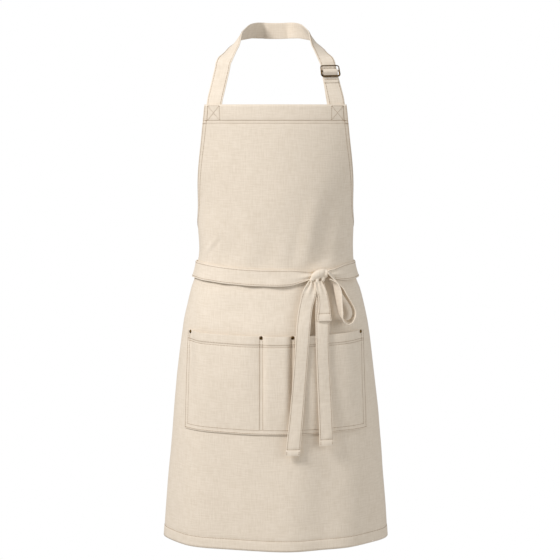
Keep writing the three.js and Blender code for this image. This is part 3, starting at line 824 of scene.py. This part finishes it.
def wire_loop(points, radius, sides=12, closed=True):
    """A round wire through points, made by sweeping a circle along them."""
    bm = bmesh.new()
    rings = []
    count = len(points)
    for i, point in enumerate(points):
        before = points[i - 1] if closed or i else point
        after = points[(i + 1) % count] if closed or i < count - 1 else point
        run = (after - before).normalized()
        turn = run.to_track_quat("Z", "Y").to_matrix().to_4x4()
        made = bmesh.ops.create_circle(bm, segments=sides, radius=radius(point) * MM,
                                       matrix=Matrix.Translation(point * MM) @ turn)
        rings.append([e for e in bm.edges if e.verts[0] in made["verts"] and e.verts[1] in made["verts"]])
    pairs = list(zip(rings, rings[1:])) + ([(rings[-1], rings[0])] if closed else [])
    for one, other in pairs:
        bmesh.ops.bridge_loops(bm, edges=one + other)
    if not closed:
        bmesh.ops.holes_fill(bm, edges=bm.edges)
    bmesh.ops.recalc_face_normals(bm, faces=bm.faces)
    return bm


def make_buckle_metal():
    """A slide buckle of cast brass: a rounded frame, thicker along its bottom, with a bar across it."""
    outline = []
    for x, y, start in ((1, 1, 0), (-1, 1, 90), (-1, -1, 180), (1, -1, 270)):
        for step in range(0, 91, 15):
            angle = math.radians(start + step)
            outline.append(Vector((x * (BUCKLE_HALF - BUCKLE_CORNER) + BUCKLE_CORNER * math.cos(angle),
                                   y * (BUCKLE_HIGH - BUCKLE_CORNER) + BUCKLE_CORNER * math.sin(angle), 4.5)))
    bm = wire_loop([TILTED @ p for p in outline], lambda p: 1.05 + 0.7 * smooth((2 - p.y) / 10))
    on_strap(bm, BUCKLE_UP, 0)
    ring = to_object("buckle_ring", bm, BRASS)
    belongs(ring, "buckle")
    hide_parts("buckle_frame")
    bar_places = [TILTED @ Vector((x, 0, BAR_OUT)) for x in (-BUCKLE_HALF, -9, 0, 9, BUCKLE_HALF)]
    bm = wire_loop(bar_places, lambda p: BAR_RADIUS, closed=False)
    on_strap(bm, BUCKLE_UP, 0)
    belongs(to_object("buckle_bar", bm, BRASS), "buckle")


def make_buckle_web():
    """The web's end: up under the strap's face, round the bar and back down, with a row of stitches."""
    # (up the strap from the bar, out of its face) along the web's outer face
    profile = [(-23, 1.3), (-19, 1.4), (-15, 1.8), (-9.5, 2.4), (-6, 4.2), (-3, 6.0), (0, 6.6), (3, 5.7),
               (4.3, 3.6), (3.0, 1.7), (0, 1.1), (-8, 0.75), (-22, 0.7)]
    places = [place for place, in refine([(TILTED @ Vector((0, up, out)),) for up, out in profile], 1.2)]
    start, direction, face, side = strap_run(1)

    def turned(vector):
        return direction * vector.y + face * vector.z + side * vector.x

    def seated(point):
        return start + direction * (BUCKLE_UP + point.y) + face * (1.6 + point.z) + side * point.x

    across = (TILTED @ Vector((1, 0, 0))).normalized()
    stations = []
    for i, place in enumerate(places):
        run = (places[min(len(places) - 1, i + 1)] - places[max(0, i - 1)]).normalized()
        normal = across.cross(run).normalized()
        stations.append((seated(place), turned(normal), turned(across), BUCKLE_WEB))
    fold = ribbon("buckle_web", stations, WEBBING, 0.8, 8, lambda s, run: -0.25 * s * s)
    belongs(fold, "buckle")
    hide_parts("buckle_fold")
    row = [(seated(TILTED @ Vector((x, -17, 1.6))), face) for x in range(-14, 15, 2)]
    seams = sew("buckle_web_stitching", [row], 2.6)
    belongs(seams, "buckle")


# ---------------------------------------------------------------- waist ties
WEB_THICK = 2.0
TIE_PITCH = 5
TIE_LIFT = 2.9  # the tie's inner face, off the torso's form
CROSS_RISE = 18  # the ties cross behind this far above and below their sewn ends
SQUEEZE = 52  # a tie starts to gather this far from the knot


def girth_to(x, drop):
    """The girth from the front's middle to a place x across."""
    wide, _, girths = section(float(drop))
    degree = math.degrees(math.asin(x / wide))
    k = int(degree)
    return girths[k] + (girths[k + 1] - girths[k]) * (degree - k)


def tie_stations(side, knot_edge):
    """A tie from its sewn end, over the back and round to the knot. side is 1 on the +X way round.

    Gives rows of (girth, rise, how far over what lies under it, length left), and the girth at the back.
    """
    quarter = section(float(TIE_DROP))[2][90]
    back = 2 * quarter
    start = SKIRT_HALF - TIE_OVERLAP
    total = 2 * back - start - side * girth_to(knot_edge, TIE_DROP)
    half_gap = back - SKIRT_HALF
    rows = []
    cells = round(total / TIE_PITCH)
    for i in range(cells + 1):
        travel = total * i / cells
        girth = start + travel
        beyond = girth - back
        over_hem = beyond - half_gap
        rise = CROSS_RISE - 6 * smooth(abs(beyond) / half_gap)
        over = 2.7 * (smooth((beyond - 4) / 26) - smooth((over_hem - TIE_OVERLAP - 10) / 40))
        fade = 1 - smooth(over_hem / (SKIRT_HALF - quarter))
        rows.append((girth, side * rise * fade, over, total - travel))
    return rows, back


def make_tie(name, side, knot_edge, node):
    """A waist tie: folded canvas, stitched down both edges and gathered where the knot takes it."""
    rows, back = tie_stations(side, knot_edge)
    columns = 12

    def corner_at(fraction, row):
        girth, rise, over, left = row
        pull = smooth(1 - left / SQUEEZE)
        width = WEB * (1 - 0.52 * pull)
        across = fraction * width / 2
        drop = TIE_DROP - (rise + across) / CLOTH_FALL - (1.5 if side > 0 else 3.0) * pull
        signed = side * (2 * back - girth) if girth > back else -side * girth
        fold = pull * (1.6 * math.cos(fraction * 5.2 + 0.6) + 1.2) + 0.35 * math.sin(left / 23 + fraction * 2)
        crown = -0.35 * fraction * fraction
        flare = 1.8 * max(0.0, -fraction) * math.sin(left / 17 + 0.7) ** 2
        return on_torso(signed, drop, TIE_LIFT + WEB_THICK + over + fold + crown + flare)

    count = len(rows) - 1

    def row_of(j):
        return rows[j if side > 0 else count - j]

    tie = cloth_grid(
        name, columns, count, lambda i, j: corner_at(2 * i / columns - 1, row_of(j))[0], WEBBING,
        web_uv(columns, [row_of(j)[0] for j in range(count + 1)]), WEB_THICK,
    )
    rounded(tie, 0.5)
    belongs(tie, "apron")
    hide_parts(node)
    seams = [[corner_at(f, row) for row in rows[:-3]] for f in (-0.82, 0.82)]
    box = []
    for step, fraction in ((1, -0.7), (4, -0.7), (4, 0.7), (1, 0.7), (1, -0.7)):
        box.append(corner_at(fraction, rows[step]))
    seams.append(box)
    stitches = sew(name + "_stitching", seams)
    belongs(stitches, "apron")


# ---------------------------------------------------------------- knot
def make_knot():
    """The knot: lobes of gathered web pressed into one lump, with the creases left between them."""
    bm = bmesh.new()
    # (across, below the bib's top, out of the form), half sizes and lean: two wraps, the turn at their
    # right end, the gather at the left, and the two strands that leave below
    lobes = (
        ((85, 331, 7), (14, 7, 9.5), 0.2),
        ((84.5, 329, 12), (17, 7.5, 8.6), 0.42),
        ((98, 328.5, 12), (5.6, 8, 8.8), -0.12),
        ((72.5, 338, 9.5), (7.5, 5.5, 4.6), 0.7),
        ((81.5, 342.5, 12.5), (3.6, 4.2, 7.5), -0.14),
        ((92.5, 338.5, 12), (4.6, 5, 7.2), -0.1),
    )
    for (x, below, out), size, lean in lobes:
        place, normal = hung(x, below, out)
        yaw = math.atan2(normal.x, -normal.y)
        turn = Matrix.Rotation(yaw, 4, "Z") @ Matrix.Rotation(-lean, 4, "Y")
        made = bmesh.ops.create_icosphere(bm, subdivisions=4, radius=1)
        bmesh.ops.transform(bm, matrix=Matrix.Translation(place * MM) @ turn
                            @ Matrix.Diagonal((*(s * MM for s in size), 1)), verts=made["verts"])
    knot = to_object("tied_knot", bm, KNOTTED)
    lump = knot.modifiers.new("lump", "REMESH")
    lump.mode = "VOXEL"
    lump.voxel_size = 0.9 * MM
    lump.use_smooth_shade = True
    soft = knot.modifiers.new("soft", "SMOOTH")
    soft.factor = 0.5
    soft.iterations = 7
    belongs(knot, "apron")
    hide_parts("waist_knot")


# ---------------------------------------------------------------- tails
TAIL_THICK = 1.8


def make_tail(name, body, node, keys, hem, fold):
    """A hanging end, gathered in folds where it leaves the knot and turned up in a hem at its end.

    keys are rows of (below the bib's top, its -X edge, its +X edge, how far out of the form).
    """
    low, high = keys[-1][0], keys[0][0]
    drops = spread(high, low, 4, low - hem - 2, low - hem, low - hem + 2)[::-1]
    columns = 10

    def corner_at(fraction, below):
        left, right, out = (along(keys, below, c) for c in (1, 2, 3))
        x = left + (right - left) * (fraction + 1) / 2
        near = 1 - smooth((below - high) / 42)
        lift = fold * near * math.cos(fraction * 6.2 + 0.4) - 0.35 * fraction * fraction
        creased = noise.noise(Vector((fraction * 1.3 + below / 40, below / 6.5, high)))
        lift += (0.5 * math.sin(below / 33 + fraction) + 0.8 * creased) * (1 - near)
        lift += 1.1 * smooth((below - low + hem) / 3) - 0.7 * bump(below, low - hem, 2.5)
        return hung(x, below, out + lift)

    tail = cloth_grid(name, columns, len(drops) - 1, lambda i, j: corner_at(2 * i / columns - 1, drops[j])[0],
                      WEBBING, web_uv(columns, drops), TAIL_THICK)
    rounded(tail, 0.5)
    belongs(tail, body)
    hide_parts(node)
    downs = spread(high + 24, low - 2, 5)
    rows = [[corner_at(f, b) for b in downs] for f in (-0.84, 0.84)]
    across_hem = [corner_at(f / 10, low - hem) for f in range(-9, 10, 3)]
    rows.append([(place + normal * 0.35, normal) for place, normal in across_hem])
    seams = sew(name + "_stitching", rows)
    belongs(seams, body)


def make_tails():
    make_tail("left_tail_web", "left_tail", "tie_tail_left", (
        (342, 66, 75, 11), (350, 60.5, 79.5, 12.5), (360, 54.5, 80.5, 13.8), (372, 50, 78.5, 14.8),
        (385, 47, 74.5, 15.3), (398, 44.5, 71.5, 15.6), (430, 40.5, 68, 16), (467, 38.4, 65.1, 16),
        (578, 29.4, 55.8, 16), (676, 18.8, 47.2, 16),
    ), 12, 2.2)
    make_tail("right_tail_web", "right_tail", "tie_tail_right", (
        (342, 86, 94, 11), (354, 82, 98, 12.8), (380, 79, 102, 14.2), (418, 78.2, 105.1, 15.4),
        (467, 78.9, 104.5, 16), (578, 83.2, 110.1, 16), (659, 86, 113.4, 16),
    ), 12, 1.4)
    make_tail("short_end_web", "short_end", "tie_short_end", (
        (342, 78, 90, 15), (354, 80, 97, 17), (366, 82.5, 101.5, 17.6), (380, 85, 105, 18),
        (395, 84.5, 107.5, 18.4), (407, 82, 108.8, 18.7), (418, 82, 110, 18.8),
    ), 14, 1.5)


# ---------------------------------------------------------------- bow
def make_bow():
    """The bow's one loop: web that leaves the knot, turns at the bottom and comes back."""
    # (across, below the bib's top) of the loop's front edge and its back edge, along its run
    keys = (
        ((102.5, 327), (104, 322)), ((111, 336.5), (112, 332)), ((121, 346), (119, 344)),
        ((132.6, 357), (127, 357)), ((140, 370), (134, 371)), ((149.1, 385), (143.5, 385)),
        ((155, 397), (150, 397)), ((156.9, 407), (152.5, 407.5)), ((153.8, 417.5), (150, 415.5)),
        ((148.5, 424.5), (146, 419.5)), ((141.5, 426.5), (140.5, 420.5)), ((134.5, 422), (134.5, 417.5)),
        ((130.5, 414), (128.5, 413.5)), ((131, 404), (124.5, 405.5)),
        ((130, 391), (121.5, 393.5)), ((129.5, 375.5), (118, 377.5)), ((128, 360), (115, 360)),
        ((121, 346.5), (112, 346.5)), ((106.5, 338), (104.5, 339)),
    )
    fronts, backs = [], []
    count = len(keys) - 1
    for k, ((front_x, front_below), (back_x, back_below)) in enumerate(keys):
        swell = math.sin(math.pi * k / count)
        back, _ = hung(back_x, back_below, 8.5 + 3 * swell)
        backs.append(back)
        fronts.append(Vector((front_x, back.y - 17 - 11 * swell, -BIB_TOP_DROP - front_below)))
    edges = []
    for k in range(count):
        cells = max(1, round((fronts[k + 1] - fronts[k]).length / 4))
        edges += [(curve_point(fronts, k, i / cells), curve_point(backs, k, i / cells)) for i in range(cells)]
    edges.append((fronts[-1], backs[-1]))
    columns = 8
    run = lengths([front for front, _ in edges])

    def corner(i, j):
        front, back = edges[j]
        return back.lerp(front, i / columns)

    loop = cloth_grid("bow_web", columns, len(edges) - 1, corner, WEBBING, web_uv(columns, run), 1.9)
    loop.modifiers["cloth"].offset = 0
    rounded(loop, 0.5)
    belongs(loop, "bow")
    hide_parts("bow_loop")


set_camera()
set_studio()
make_panel()
make_pocket()
make_rivets()
make_strap()
make_strap_free_end()
make_buckle_metal()
make_buckle_web()
make_tie("left_waist_tie", 1, KNOT_ACROSS + KNOT_HALF, "waist_tie_left")
make_tie("right_waist_tie", -1, KNOT_ACROSS - KNOT_HALF, "waist_tie_right")
make_knot()
make_tails()
make_bow()
